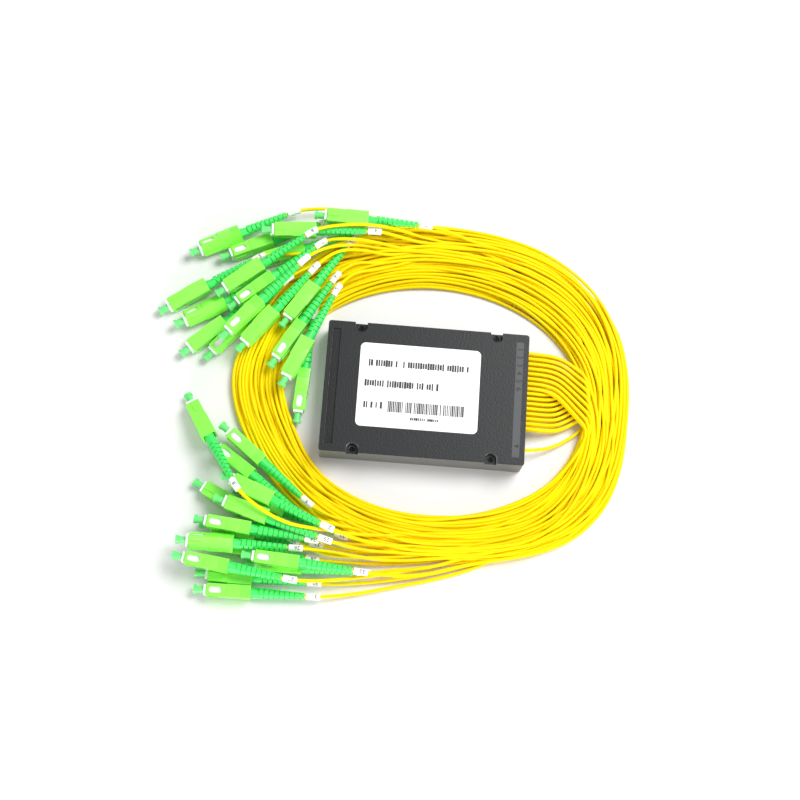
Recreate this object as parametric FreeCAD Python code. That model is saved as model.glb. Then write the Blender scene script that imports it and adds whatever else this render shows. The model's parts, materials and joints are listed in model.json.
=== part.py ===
# Fibre splitter in a module box: one input lead and 32 output leads, each with a square
# push-pull connector. Millimetres. The origin is the middle of the box's underside,
# +X points to the side where the leads come out, +Y to the long side away from the front, +Z up.
import FreeCAD, Part
import math
import os

vector = FreeCAD.Vector
os.makedirs("parts", exist_ok=True)

# ---- module box
box_length = 120.0
box_width = 80.0
box_height = 18.0
box_corner = 1.6
box_edge = 0.4
box_wall = 2.0
split_height = 10.0
cover_top = 2.2
lip_width = 0.8
lip_height = 1.5
lip_clearance = 0.15

# ---- screws and their pockets
screw_from_end = 19.5
screw_from_side = 2.8
screw_x = box_length / 2 - screw_from_end
screw_y = box_width / 2 - screw_from_side
pocket_radius = 3.6
pocket_depth = 3.7
screw_head_radius = 1.7
screw_head_height = 1.3
screw_shank_radius = 1.1
screw_length = 8.0
screw_slot = (2.2, 0.5, 0.6)
head_clearance = 0.2
shank_clearance = 0.1
thread_clearance = 0.05
post_radius = 3.4
post_inset = 1.5

# ---- end recesses, number strip and label
recess_from_end = 5.3
recess_from_side = 4.5
recess_width = 4.8
recess_x = box_length / 2 - recess_from_end
recess_length = box_width - 2 * recess_from_side
recess_depth = 1.0
strip_thickness = 0.6
strip_clearance = 0.1
label_size = (71.5, 51.0)
label_centre = (-4.2, 2.0)
label_corner = 3.0
label_thickness = 0.15

# ---- leads at the box
jacket_radius = 1.0
lead_columns = 16
lead_pitch = 3.1
first_lead_y = 30.9
lead_rows = (6.5, 10.5)
input_y = -28.6
input_z = 8.5
comb_thickness = 4.0
comb_margin = 3.0
comb_clearance = 0.1
comb_hole_clearance = 0.05

# ---- inside the box
floor_thickness = 2.0
package_size = (50.0, 7.0, 4.0)
package_from_end = 21.0
package_y = 6.0
package_centre = (package_from_end + package_size[0] / 2 - box_length / 2, package_y)
package_corner = 0.6
pad_thickness = 1.0
boot_plug_length = 5.0
boot_plug_size = (6.0, 3.2)
boot_plug_corner = 0.8
ribbon_count = 4
ribbon_size = (2.1, 0.3)
ribbon_pitch = 0.6
fanout_size = (9.0, 30.0, 6.5)
fanout_to_comb = 23.0
tube_radius = 0.45
tube_pitch = 1.7
tube_rows = (1.6, 3.4)
tube_bend_x = 44.0

# ---- push-pull connector, along its own axis from the grip's front face to the cable
grip_length = 25.5
grip_width = 9.0
grip_height = 7.4
grip_bore = (6.9, 5.9)
grip_rear_bore = 3.35
grip_rear_depth = 3.0
grip_front_chamfer = 0.7
grip_travel = 1.8
window_start = 1.8
window_size = (7.4, 3.6)
key_size = (7.0, 1.6, 0.35)
housing_clearance = 0.15
housing_proud = 1.3
housing_end = 20.0
housing_bore = 2.45
ferrule_radius = 1.25
ferrule_front = -5.4
ferrule_end = 7.0
flange_radius = 2.2
flange_length = 3.0
spring_radii = (2.2, 1.7)
spring_end = 17.0
cap_length = 6.0
cap_neck_radius = 2.0
cap_tip_radius = 2.6
cap_tip_length = 1.6
cap_bore_clearance = 0.05
cap_end_wall = 0.8
crimp_radii = (2.4, 1.7)
crimp_step = 27.0
crimp_end = 33.0
boot_start = 24.6
boot_taper_start = 30.0
boot_end = 56.0
boot_front_radius = 3.1
boot_tip_radius = 1.8
boot_grooves = 4
boot_groove_width = 1.2
boot_groove_depth = 0.45
boot_clearance = 0.05
sleeve_length = 8.0
sleeve_radius = 1.6
sleeve_start = 57.0

# ---- leads outside the box, laid in one ring of loose turns
ring_outer = ((5.5, 8.0), (118.0, 104.5))
ring_inner = ((4.5, 0.0), (92.5, 71.0))
ring_fullness = (2.5, 3.0)
ring_points = 12
ring_height_left = 5.5
ring_height_right = 10.4
ring_edge_height = 2.5
ring_edge_width = 5.0
upper_bend_x = 76.0
bend_step = 0.6
sweep_angle = 45.0
sweep_step = 1.5
over_rows = (7.2, 9.7)
under_rows = (2.1, 4.5)
straight_exit = 5.0
ring_bite = 4.0
boot_lead = 9.0
arc_share = 0.45

# Each connector: middle of the grip's front face, then heading, rise and roll in degrees,
# then the lead's points from its boot to the ring.
upper_plugs = [
    ((-141.5, 83.0, 6.2), (28, 1, 55), [(-62, 117, 6), (-38, 112.8, 5), (-16, 108.5, 4.4)]),
    ((-122.5, 81.5, 5.4), (25, 1, 85), [(-46, 110, 5.6), (-28, 108.4, 4.4)]),
    ((-103.0, 79.5, 5.0), (21, 3, 0), [(-26, 105.5, 4.8)]),
    ((-98.0, 95.5, 15.2), (4, 0, 8), [(-20, 99.5, 9.5), (-4, 98, 5.5)]),
    ((-156.5, 45.5, 4.4), (33, 7, 0), [(-87, 81.5, 12.2), (-72, 84.5, 11.2), (-56, 94, 9), (-38, 96, 5.2)]),
    ((-146.0, 37.0, 6.2), (31, 1, 50), [(-74, 79, 5)]),
    ((-115.0, 48.5, 14.0), (41, 3, 90), [(-50, 94, 15.5), (-32, 94.5, 10), (-16, 93, 5.6)]),
    ((-123.0, 56.5, 14.2), (38, 6, 0), [(-57, 101, 19), (-39, 102.3, 20), (-22, 103.5, 12), (-6, 102, 5.5)]),
    ((-141.5, 20.5, 4.2), (42, 2, 0), [(-79, 71.5, 4.4)]),
    ((-127.5, 19.5, 5.2), (48, 10, 90), [(-73, 75.5, 12), (-61, 83.5, 6.5)]),
    ((-118.0, 28.5, 19.2), (49, 4, 90), [(-63, 87, 18), (-46, 92, 11), (-30, 92, 6.5)]),
    ((-108.5, 24.0, 12.8), (53, 3, 0), [(-59, 85.5, 15.5), (-43, 89, 11.5), (-28, 88, 6)]),
    ((-84.6, 42.2, 10.6), (57, 0, 0), [(-36, 99.5, 7), (-22, 98, 4.8)]),
    ((-89.2, 16.5, 11.5), (60, 0, 90), [(-47, 82, 8), (-32, 83, 5)]),
    ((-82.0, 4.6, 14.6), (66, 0, 0), [(-47, 75, 9.5), (-33, 78.5, 5.2)]),
    ((-74.0, -14.0, 5.0), (86, 2, 90), [(-65, 62, 7), (-54, 70, 4.6)]),
    ((-67.0, 108.0, 13.6), (-1, 0, 0), [(12, 105, 9), (28, 101, 5)]),
]
lower_plugs = [
    ((-136.5, -15.0, 5.4), (-58, 16, 0),
     [(-91, -77, 22), (-75, -84.5, 20), (-57, -86, 17.5), (-40, -86.5, 13.5), (-23, -85.5, 7.5), (-8, -84, 5)]),
    ((-112.0, -32.0, 10.8), (-38, 0, 90), [(-48, -77, 6.5), (-34, -78.5, 4.6)]),
    ((-117.4, -41.0, 5.0), (-36, 8, 90), [(-50, -80.5, 9.5), (-36, -82, 5)]),
    ((-107.0, -61.0, 15.6), (-23, 4, 0), [(-33, -90, 15), (-18, -91, 9), (-3, -90, 5.5)]),
    ((-100.0, -66.2, 4.0), (-20, 3, 0), [(-25, -88.5, 5)]),
    ((-124.0, -64.5, 4.2), (-27, 5, 0), [(-52, -99, 7.5), (-34, -99, 6), (-14, -97.5, 4.5)]),
    ((-120.0, -85.4, 13.2), (-6, 0, 90), [(-40, -92, 9.5), (-25, -91.5, 5.2)]),
    ((-110.0, -73.6, 14.0), (-17, 2, 0), [(-32, -95, 10.5), (-16, -94.5, 5.2)]),
    ((-129.0, -97.3, 14.0), (0, 0, 30), [(-48, -97.5, 11.5), (-30, -99, 8.5), (-12, -99.5, 6), (6, -97, 5)]),
    ((-130.0, -107.1, 12.8), (-8, 3, 90),
     [(-50, -114.5, 12), (-30, -110.5, 8), (-9, -105.5, 5.8), (12, -100.8, 5), (28, -94.5, 4)]),
    ((-119.0, -95.7, 4.0), (-5.5, 1, 0), [(-36, -102, 4), (-16, -101, 3), (4, -98.5, 2.6), (22, -94.5, 2.5)]),
    ((-89.3, -107.0, 4.7), (0, 0, 90), [(-12, -104.5, 4.5), (6, -101.5, 2.5), (24, -97, 2)]),
    ((-117.0, -114.3, 4.0), (-1, 0, 0), [(-32, -113.5, 2.5), (-10, -109.5, 1.4), (12, -104.5, 1.3), (34, -97, 1.5)]),
    ((-117.0, -123.5, 4.9), (0.5, 0, 90),
     [(-32, -119.5, 2.6), (-10, -113.5, 1.3), (13, -107.5, 1.2), (36, -99.5, 1.2), (54, -88, 1.4)]),
    ((-91.0, -103.8, 14.0), (-4, 0, 90), [(-9, -108.5, 8.5), (11, -104.8, 4.2), (30, -98, 4)]),
    ((-117.5, -86.4, 4.0), (-6, 0, 0), [(-35, -95.5, 3.6), (-17, -95.2, 2.2)]),
]
# The input lead's points between the box and the ring.
input_points = [(64, input_y, input_z), (80, -24, 3.2), (97, -11, 1.8)]


# ---- small helpers
def box(low, high):
    size = [b - a for a, b in zip(low, high)]
    return Part.makeBox(*size, vector(*low))


def cylinder(radius, length, base, axis=(0, 0, 1)):
    return Part.makeCylinder(radius, length, vector(*base), vector(*axis))


def rounded_plate(length, width, corner, low, high, centre=(0, 0)):
    plate = box(
        (centre[0] - length / 2, centre[1] - width / 2, low),
        (centre[0] + length / 2, centre[1] + width / 2, high),
    )
    upright = [e for e in plate.Edges if abs(e.tangentAt(e.FirstParameter).z) > 0.99]
    return plate.makeFillet(corner, upright)


def turned(profile):
    """A solid of revolution about X from (x, radius) points, closed along the axis if it starts there."""
    points = [vector(x, 0, r) for x, r in profile]
    face = Part.Face(Part.makePolygon(points + points[:1]))
    return face.revolve(vector(0, 0, 0), vector(1, 0, 0), 360)


def fused(shapes):
    whole = shapes[0].multiFuse(shapes[1:]) if len(shapes) > 1 else shapes[0]
    return whole.removeSplitter()


def export(name, shapes):
    shapes = shapes if isinstance(shapes, list) else [shapes]
    solids = [s for shape in shapes for s in shape.Solids]
    for solid in solids:
        if not solid.isValid() or solid.Volume <= 0:
            print("not a sound solid in", name)
    target = solids[0] if len(solids) == 1 else Part.makeCompound(solids)
    target.exportStep("parts/" + name + ".step")


def bends(points):
    """Radius of the arc at each inner point: its share of the shorter run over tan(half turn)."""
    found = []
    for before, corner, after in zip(points, points[1:], points[2:]):
        run_in, run_out = corner - before, after - corner
        turn = run_in.getAngle(run_out)
        found.append(arc_share * min(run_in.Length, run_out.Length) / math.tan(turn / 2))
    return found


def lead_path(points):
    """Straight runs joined by tangent arcs, as a list of edges."""
    points = [vector(*p) for p in points]
    edges, at = [], points[0]
    for before, corner, after, bend in zip(points, points[1:], points[2:], bends(points)):
        run_in = (corner - before).normalize()
        run_out = (after - corner).normalize()
        half = run_in.getAngle(run_out) / 2
        cut = bend * math.tan(half)
        start, end = corner - run_in * cut, corner + run_out * cut
        inward = (run_out - run_in).normalize()
        middle = corner + inward * (bend / math.cos(half) - bend)
        edges.append(Part.LineSegment(at, start).toShape())
        edges.append(Part.Arc(start, middle, end).toShape())
        at = end
    edges.append(Part.LineSegment(at, points[-1]).toShape())
    return edges


def stretch(edges, low, high):
    """The part of a path between two distances from its start."""
    kept, along = [], 0.0
    for edge in edges:
        first, last = max(low - along, 0.0), min(high - along, edge.Length)
        if last - first > 1e-6:
            ends = edge.getParameterByLength(first), edge.getParameterByLength(last)
            kept.append(edge.Curve.toShape(*ends))
        along += edge.Length
    return kept


def pipe(edges, radius):
    path = Part.Wire(edges)
    first = edges[0]
    start = first.valueAt(first.FirstParameter)
    ring = Part.Wire(Part.makeCircle(radius, start, first.tangentAt(first.FirstParameter)))
    return path.makePipeShell([ring], True, True)


def lead(name, points, radius=jacket_radius):
    """A round lead along the points."""
    edges = lead_path(points)
    tube = pipe(edges, radius)
    length = sum(edge.Length for edge in edges)
    if abs(tube.Volume / (math.pi * radius**2 * length) - 1) > 0.01:
        print(name, "volume differs from its section times length")
    print(name, "length", round(length, 1), "radii", [round(r, 1) for r in bends([vector(*p) for p in points])])
    return tube


# ---- module box
def screw_places():
    return [(sx * screw_x, sy * screw_y) for sx in (-1, 1) for sy in (-1, 1)]


def lead_places():
    """(column, row, y, z) of each output lead in the comb."""
    places = []
    for column in range(lead_columns):
        for row, z in enumerate(lead_rows):
            places.append((column, row, first_lead_y - lead_pitch * column, z))
    return places


comb_low_y = input_y - comb_margin
comb_high_y = first_lead_y + comb_margin
comb_low_z = lead_rows[0] - comb_margin
comb_high_z = lead_rows[1] + comb_margin
wall_inner_x = box_length / 2 - box_wall
comb_inner_x = box_length / 2 - comb_thickness
fanout_x = comb_inner_x - fanout_to_comb


def comb_window(grow, low_z, high_z):
    return box(
        (comb_inner_x - 1, comb_low_y - grow, low_z),
        (box_length / 2 + 1, comb_high_y + grow, high_z),
    )


def base_tray():
    outer = rounded_plate(box_length, box_width, box_corner, 0, split_height)
    bottom = [e for e in outer.Edges if abs(e.BoundBox.ZMax) < 1e-6]
    outer = outer.makeChamfer(box_edge, bottom)
    inner = rounded_plate(
        box_length - 2 * box_wall, box_width - 2 * box_wall, box_corner, floor_thickness, split_height
    )
    tray = outer.cut(inner)
    posts = []
    for x, y in screw_places():
        inwards = y - math.copysign(post_inset, y)
        posts.append(cylinder(post_radius, split_height - floor_thickness / 2, (x, inwards, floor_thickness / 2)))
    tray = fused([tray] + posts).common(rounded_plate(box_length, box_width, box_corner, 0, split_height))
    for x, y in screw_places():
        pilot = cylinder(screw_shank_radius + thread_clearance, screw_length, (x, y, split_height - screw_length + 1))
        tray = tray.cut(pilot)
    return tray.cut(comb_window(comb_clearance, comb_low_z - comb_clearance, split_height + 1))


def top_cover():
    cover = rounded_plate(box_length, box_width, box_corner, split_height, box_height)
    top = [e for e in cover.Edges if e.BoundBox.ZMin > box_height - 1e-6]
    cover = cover.makeFillet(box_edge, top)
    hollow = rounded_plate(
        box_length - 2 * box_wall, box_width - 2 * box_wall, box_corner, split_height, box_height - cover_top
    )
    cover = cover.cut(hollow)
    pocket_floor = box_height - pocket_depth
    bosses = []
    for x, y in screw_places():
        side = math.copysign(box_width / 2 - box_wall / 2, y)
        bosses.append(cylinder(pocket_radius + 1.2, box_height - cover_top - split_height, (x, y, split_height)))
        web = sorted((y, side))
        bosses.append(
            box(
                (x - pocket_radius - 1.2, web[0], split_height),
                (x + pocket_radius + 1.2, web[1], box_height - cover_top),
            )
        )
    within = rounded_plate(box_length, box_width, box_corner, split_height, box_height - cover_top)
    cover = fused([cover] + [b.common(within) for b in bosses])
    head_floor = split_height + 2.0
    for x, y in screw_places():
        out = math.copysign(box_width / 2 + 1, y)
        slot = sorted((y, out))
        pocket = cylinder(pocket_radius, pocket_depth + 1, (x, y, pocket_floor)).fuse(
            box((x - pocket_radius, slot[0], pocket_floor), (x + pocket_radius, slot[1], box_height + 1))
        )
        cover = cover.cut(pocket)
        cover = cover.cut(cylinder(screw_head_radius + head_clearance, box_height, (x, y, head_floor)))
        cover = cover.cut(cylinder(screw_shank_radius + shank_clearance, box_height, (x, y, split_height - 1)))
    for side in (-1, 1):
        recess = box(
            (side * recess_x - recess_width / 2, -recess_length / 2, box_height - recess_depth),
            (side * recess_x + recess_width / 2, recess_length / 2, box_height + 1),
        )
        cover = cover.cut(recess)
    return cover.cut(comb_window(comb_clearance, split_height - 1, comb_high_z + comb_clearance))


def cover_screws():
    screws = []
    for x, y in screw_places():
        seat = split_height + 2.0
        head = cylinder(screw_head_radius, screw_head_height, (x, y, seat))
        shank = cylinder(screw_shank_radius, screw_length - 1, (x, y, seat - screw_length + 1))
        screw = head.fuse(shank)
        length, width, depth = screw_slot
        top = seat + screw_head_height
        for half_x, half_y in ((length / 2, width / 2), (width / 2, length / 2)):
            screw = screw.cut(box((x - half_x, y - half_y, top - depth), (x + half_x, y + half_y, top + 1)))
        screws.append(screw.removeSplitter())
    return screws


def face_label():
    return rounded_plate(
        *label_size, label_corner, box_height, box_height + label_thickness, label_centre
    )


def port_number_strip():
    low = box_height - recess_depth
    half_width = recess_width / 2 - strip_clearance
    half_length = recess_length / 2 - strip_clearance
    return box((recess_x - half_width, -half_length, low), (recess_x + half_width, half_length, low + strip_thickness))


def lead_comb():
    comb = box((comb_inner_x, comb_low_y, comb_low_z), (box_length / 2 - 0.3, comb_high_y, comb_high_z))
    hole = jacket_radius + comb_hole_clearance
    holes = [cylinder(hole, comb_thickness + 2, (comb_inner_x - 1, y, z), (1, 0, 0)) for _, _, y, z in lead_places()]
    holes.append(cylinder(hole, comb_thickness + 2, (comb_inner_x - 1, input_y, input_z), (1, 0, 0)))
    return comb.cut(Part.makeCompound(holes))


# ---- inside the box
package_low_z = floor_thickness + pad_thickness
package_right_x = package_centre[0] + package_size[0] / 2
package_left_x = package_centre[0] - package_size[0] / 2
package_mid_z = package_low_z + package_size[2] / 2


def package_pad():
    length, width, _ = package_size
    return rounded_plate(length - 4, width - 1, 0.5, floor_thickness, package_low_z, package_centre)


def splitter_package():
    length, width, height = package_size
    package = box(
        (package_left_x, package_centre[1] - width / 2, package_low_z),
        (package_right_x, package_centre[1] + width / 2, package_low_z + height),
    )
    along = [e for e in package.Edges if abs(e.tangentAt(e.FirstParameter).x) > 0.99]
    return package.makeFillet(package_corner, along)


def package_boots():
    boots = []
    width, height = boot_plug_size
    for x, side in ((package_left_x, -1), (package_right_x, 1)):
        ends = sorted((x, x + side * boot_plug_length))
        boot = box(
            (ends[0], package_centre[1] - width / 2, package_mid_z - height / 2),
            (ends[1], package_centre[1] + width / 2, package_mid_z + height / 2),
        )
        along = [e for e in boot.Edges if abs(e.tangentAt(e.FirstParameter).x) > 0.99]
        boots.append(boot.makeFillet(boot_plug_corner, along))
    return boots


def output_ribbons():
    width, thickness = ribbon_size
    start = package_right_x + boot_plug_length
    ribbons = []
    for index in range(ribbon_count):
        z = package_mid_z + (index - (ribbon_count - 1) / 2) * ribbon_pitch
        ribbons.append(
            box(
                (start, package_centre[1] - width / 2, z - thickness / 2),
                (fanout_x, package_centre[1] + width / 2, z + thickness / 2),
            )
        )
    return ribbons


def fanout_block():
    length, width, height = fanout_size
    block = box(
        (fanout_x, package_centre[1] - width / 2, floor_thickness),
        (fanout_x + length, package_centre[1] + width / 2, floor_thickness + height),
    )
    upright = [e for e in block.Edges if abs(e.tangentAt(e.FirstParameter).z) > 0.99]
    return block.makeFillet(1.0, upright)


def output_fibres():
    """Straight 0.9 mm tubes from the fan-out block to the comb's inner face."""
    tubes = []
    between = box((fanout_x + fanout_size[0], -box_width / 2, 0), (comb_inner_x, box_width / 2, box_height))
    for column, row, y, z in lead_places():
        start = vector(
            fanout_x + fanout_size[0],
            package_centre[1] + ((lead_columns - 1) / 2 - column) * tube_pitch,
            floor_thickness + tube_rows[row],
        )
        end = vector(comb_inner_x, y, z)
        spare = (end - start) * 0.1
        tube = Part.makeCylinder(tube_radius, (end - start).Length * 1.2, start - spare, end - start)
        tubes.append(tube.common(between))
    return tubes


def input_fibre():
    points = [
        (comb_inner_x - 0.2, input_y, input_z),
        (fanout_x - 3, input_y + 1, 6.0),
        (package_right_x - 11, input_y, 4.0),
        (package_left_x + 9, input_y + 2, 3.4),
        (package_left_x - 9, -22, 3.2),
        (package_left_x - 15, -8, 3.4),
        (package_left_x - 12.5, package_y - 2.5, 4.6),
        (package_left_x - boot_plug_length - 0.2, package_centre[1], package_mid_z),
    ]
    return lead("input_fibre", points, tube_radius)


# ---- push-pull connector in its own frame: X from the grip's front face to the cable
def grip():
    body = box((0, -grip_width / 2, -grip_height / 2), (grip_length, grip_width / 2, grip_height / 2))
    front = [e for e in body.Edges if e.BoundBox.XMax < 1e-6]
    body = body.makeChamfer(grip_front_chamfer, front)
    bore_y, bore_z = grip_bore
    body = body.cut(box((-1, -bore_y / 2, -bore_z / 2), (grip_length + 1, bore_y / 2, bore_z / 2)))
    body = body.cut(cylinder(grip_rear_bore, grip_rear_depth + 1, (grip_length - grip_rear_depth, 0, 0), (1, 0, 0)))
    window_length, window_height = window_size
    body = body.cut(
        box(
            (window_start, -grip_width, -window_height / 2),
            (window_start + window_length, grip_width, window_height / 2),
        )
    )
    key_length, key_width, key_height = key_size
    key = box(
        (grip_front_chamfer, -key_width / 2, grip_height / 2),
        (grip_front_chamfer + key_length, key_width / 2, grip_height / 2 + key_height),
    )
    return body.fuse(key).removeSplitter()


def inner_housing():
    half_y = grip_bore[0] / 2 - housing_clearance
    half_z = grip_bore[1] / 2 - housing_clearance
    body = box((-housing_proud, -half_y, -half_z), (housing_end, half_y, half_z))
    bore = cylinder(housing_bore, housing_end, (housing_proud + 1, 0, 0), (1, 0, 0))
    nose = cylinder(ferrule_radius + 0.1, housing_proud + 4, (-housing_proud - 1, 0, 0), (1, 0, 0))
    return body.cut(bore.fuse(nose))


def ferrule():
    flange_start = ferrule_end - flange_length
    return turned(
        [
            (ferrule_front, 0),
            (ferrule_front, ferrule_radius - 0.2),
            (ferrule_front + 0.3, ferrule_radius),
            (flange_start, ferrule_radius),
            (flange_start, flange_radius),
            (ferrule_end, flange_radius),
            (ferrule_end, 0),
        ]
    )


def ferrule_spring():
    outer, inner = spring_radii
    tube = cylinder(outer, spring_end - ferrule_end, (ferrule_end, 0, 0), (1, 0, 0))
    return tube.cut(cylinder(inner, spring_end, (ferrule_end - 1, 0, 0), (1, 0, 0)))


def crimp_sleeve():
    wide, narrow = crimp_radii
    bore = jacket_radius + boot_clearance
    return turned(
        [
            (spring_end, bore),
            (spring_end, wide),
            (crimp_step, wide),
            (crimp_step, narrow),
            (crimp_end, narrow),
            (crimp_end, bore),
        ]
    )


def boot_radius(x):
    share = max(0.0, (x - boot_taper_start) / (boot_end - boot_taper_start))
    return boot_front_radius + (boot_tip_radius - boot_front_radius) * share


def strain_boot():
    outline = [(boot_start, boot_front_radius)]
    pitch = (boot_end - boot_taper_start) / (boot_grooves + 1)
    for index in range(boot_grooves):
        x = boot_taper_start + pitch * (index + 1) - boot_groove_width / 2
        after = x + boot_groove_width
        outline += [
            (x, boot_radius(x)),
            (x, boot_radius(x) - boot_groove_depth),
            (after, boot_radius(after) - boot_groove_depth),
            (after, boot_radius(after)),
        ]
    wide, narrow = (r + boot_clearance for r in crimp_radii)
    bore = jacket_radius + boot_clearance
    inside = [
        (boot_end, bore),
        (crimp_end + boot_clearance, bore),
        (crimp_end + boot_clearance, narrow),
        (crimp_step + boot_clearance, narrow),
        (crimp_step + boot_clearance, wide),
        (boot_start, wide),
    ]
    return turned(outline + [(boot_end, boot_tip_radius)] + inside)


def ferrule_cap():
    rear = -housing_proud
    front = rear - cap_length
    bore = ferrule_radius + cap_bore_clearance
    return turned(
        [
            (front, 0),
            (front, cap_tip_radius),
            (front + cap_tip_length, cap_tip_radius),
            (front + cap_tip_length, cap_neck_radius),
            (rear, cap_neck_radius),
            (rear, bore),
            (front + cap_end_wall, bore),
            (front + cap_end_wall, 0),
        ]
    )


def jacket_end():
    """The stretch of lead inside the boot."""
    return cylinder(jacket_radius, boot_end - crimp_end, (crimp_end, 0, 0), (1, 0, 0))


def plug_frame(plug):
    """The placement that puts a connector made along X where it lies."""
    place, (heading, rise, roll), _ = plug
    turn = FreeCAD.Rotation(vector(0, 0, 1), heading)
    tip = FreeCAD.Rotation(vector(0, 1, 0), -rise)
    spin = FreeCAD.Rotation(vector(1, 0, 0), roll)
    return FreeCAD.Placement(vector(*place), turn.multiply(tip).multiply(spin))


def placed(shape, plug):
    copy = shape.copy()
    copy.Placement = plug_frame(plug)
    return copy


# ---- leads outside the box
def over_lead(column, row, y, z):
    """A lead of the far columns: over the others and towards the front."""
    steps = lead_columns // 2 - 1 - column
    bend_x = upper_bend_x + bend_step * steps
    angle = math.radians(-sweep_angle + sweep_step * steps)
    return swept(y, z, bend_x, over_rows[row], angle)


def under_lead(column, row, y, z):
    """A lead of the near columns: under the others and away from the front."""
    steps = column - lead_columns // 2
    bend_x = upper_bend_x + bend_step * steps
    angle = math.radians(sweep_angle - sweep_step * steps)
    return swept(y, z, bend_x, under_rows[row], angle)


def swept(y, z, bend_x, low_z, angle):
    """Points from the comb's outer face, level at the bend and on to just inside the ring's inner edge."""
    (centre_x, centre_y), (half_x, half_y) = ring_inner
    reach = 0.0
    while True:
        x, across = bend_x + reach * math.cos(angle), y + reach * math.sin(angle)
        if ((x - centre_x) / half_x) ** 2 + ((across - centre_y) / half_y) ** 2 > 1:
            break
        reach += 0.5
    reach += ring_bite
    end = (bend_x + reach * math.cos(angle), y + reach * math.sin(angle), low_z - 0.6)
    first = box_length / 2 + straight_exit
    return [(comb_inner_x, y, z), (first, y, z), (bend_x, y, low_z), end]


def tail(plug):
    frame = plug_frame(plug)
    start = frame.multVec(vector(boot_end, 0, 0))
    straight = frame.multVec(vector(boot_end + boot_lead, 0, 0))
    return [tuple(start), tuple(straight)] + plug[2]


def number_sleeve(plug):
    """The sleeve follows the lead from just behind the boot."""
    edges = lead_path(tail(plug))
    low, high = sleeve_start - boot_end, sleeve_start - boot_end + sleeve_length
    outside = pipe(stretch(edges, low, high), sleeve_radius)
    return outside.cut(pipe(stretch(edges, low - 0.5, high + 0.5), jacket_radius + boot_clearance))


def ring_edge(centre, half, z, fullness=(2.0, 2.0)):
    """An ellipse on the left; on the right its two quarters are as full as the exponents say."""
    points = []
    for quarter, power in enumerate((fullness[0], 2.0, 2.0, fullness[1])):
        for step in range(ring_points):
            angle = math.pi / 2 * (quarter + step / ring_points)
            across, along = math.cos(angle), math.sin(angle)
            reach = (abs(across) ** power + abs(along) ** power) ** (-1 / power)
            points.append(vector(centre[0] + half[0] * reach * across, centre[1] + half[1] * reach * along, z))
    curve = Part.BSplineCurve()
    curve.interpolate(points, PeriodicFlag=True)
    return Part.Wire(curve.toShape())


def fibre_coil():
    """The outer shape of the loose turns: an uneven ring, thicker where the leads come in."""
    top = ring_height_right + 1
    (outer_centre, outer_half), (inner_centre, inner_half) = ring_outer, ring_inner

    def stack(centre, half, inset, fullness):
        low = ring_edge(centre, [h - inset / 3 for h in half], 0, fullness)
        waist = ring_edge(centre, half, ring_edge_height, fullness)
        high = ring_edge(centre, [h - inset for h in half], top, fullness)
        return Part.makeLoft([low, waist, high], True, True)

    hole = stack(inner_centre, inner_half, -ring_edge_width, (2.0, 2.0))
    ring = stack(outer_centre, outer_half, ring_edge_width, ring_fullness).cut(hole)
    left = outer_centre[0] - outer_half[0]
    right = outer_centre[0] + outer_half[0]
    rise = math.degrees(math.atan2(ring_height_right - ring_height_left, right - left))
    spare = outer_half[0] / 5
    lid = Part.makeBox(right - left + 2 * spare, 4 * outer_half[1], 2 * top, vector(-spare, -2 * outer_half[1], 0))
    lid.rotate(vector(0, 0, 0), vector(0, 1, 0), -rise)
    lid.translate(vector(left, 0, ring_height_left))
    return ring.cut(lid)


def build():
    export("base_tray", base_tray())
    export("top_cover", top_cover())
    export("cover_screws", cover_screws())
    export("face_label", face_label())
    export("port_number_strip", port_number_strip())
    export("lead_comb", lead_comb())
    export("package_pad", package_pad())
    export("splitter_package", splitter_package())
    export("package_boots", package_boots())
    export("output_ribbons", output_ribbons())
    export("fanout_block", fanout_block())
    export("output_fibres", output_fibres())
    export("input_fibre", input_fibre())

    plugs = upper_plugs + lower_plugs
    grip_shape = grip()
    for index, plug in enumerate(plugs):
        export("grip_%02d" % (index + 1), placed(grip_shape, plug))
    for name, shape in (
        ("inner_housings", inner_housing()),
        ("ferrules", ferrule()),
        ("ferrule_springs", ferrule_spring()),
        ("crimp_sleeves", crimp_sleeve()),
        ("strain_boots", strain_boot()),
        ("ferrule_caps", ferrule_cap()),
        ("jacket_ends", jacket_end()),
    ):
        export(name, [placed(shape, plug) for plug in plugs])
    export("number_sleeves", [number_sleeve(plug) for plug in plugs])

    over, under = [], []
    for column, row, y, z in lead_places():
        if column < lead_columns // 2:
            over.append(lead("over %d %d" % (column, row), over_lead(column, row, y, z)))
        else:
            under.append(lead("under %d %d" % (column, row), under_lead(column, row, y, z)))
    export("exit_leads_over", over)
    export("exit_leads_under", under)
    start = [(comb_inner_x, input_y, input_z)]
    export("exit_lead_input", lead("input", start + input_points))
    export("tail_leads_upper", [lead("tail %d" % i, tail(p)) for i, p in enumerate(upper_plugs)])
    export("tail_leads_lower", [lead("tail %d" % i, tail(p)) for i, p in enumerate(lower_plugs)])
    export("fibre_coil", fibre_coil())


build()
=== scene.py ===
# Fibre splitter: a flat box with 33 leads laid in one loose ring, each with a push-pull connector.
import json
import math

import bpy
import numpy as np
from mathutils import Matrix, Vector

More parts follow.
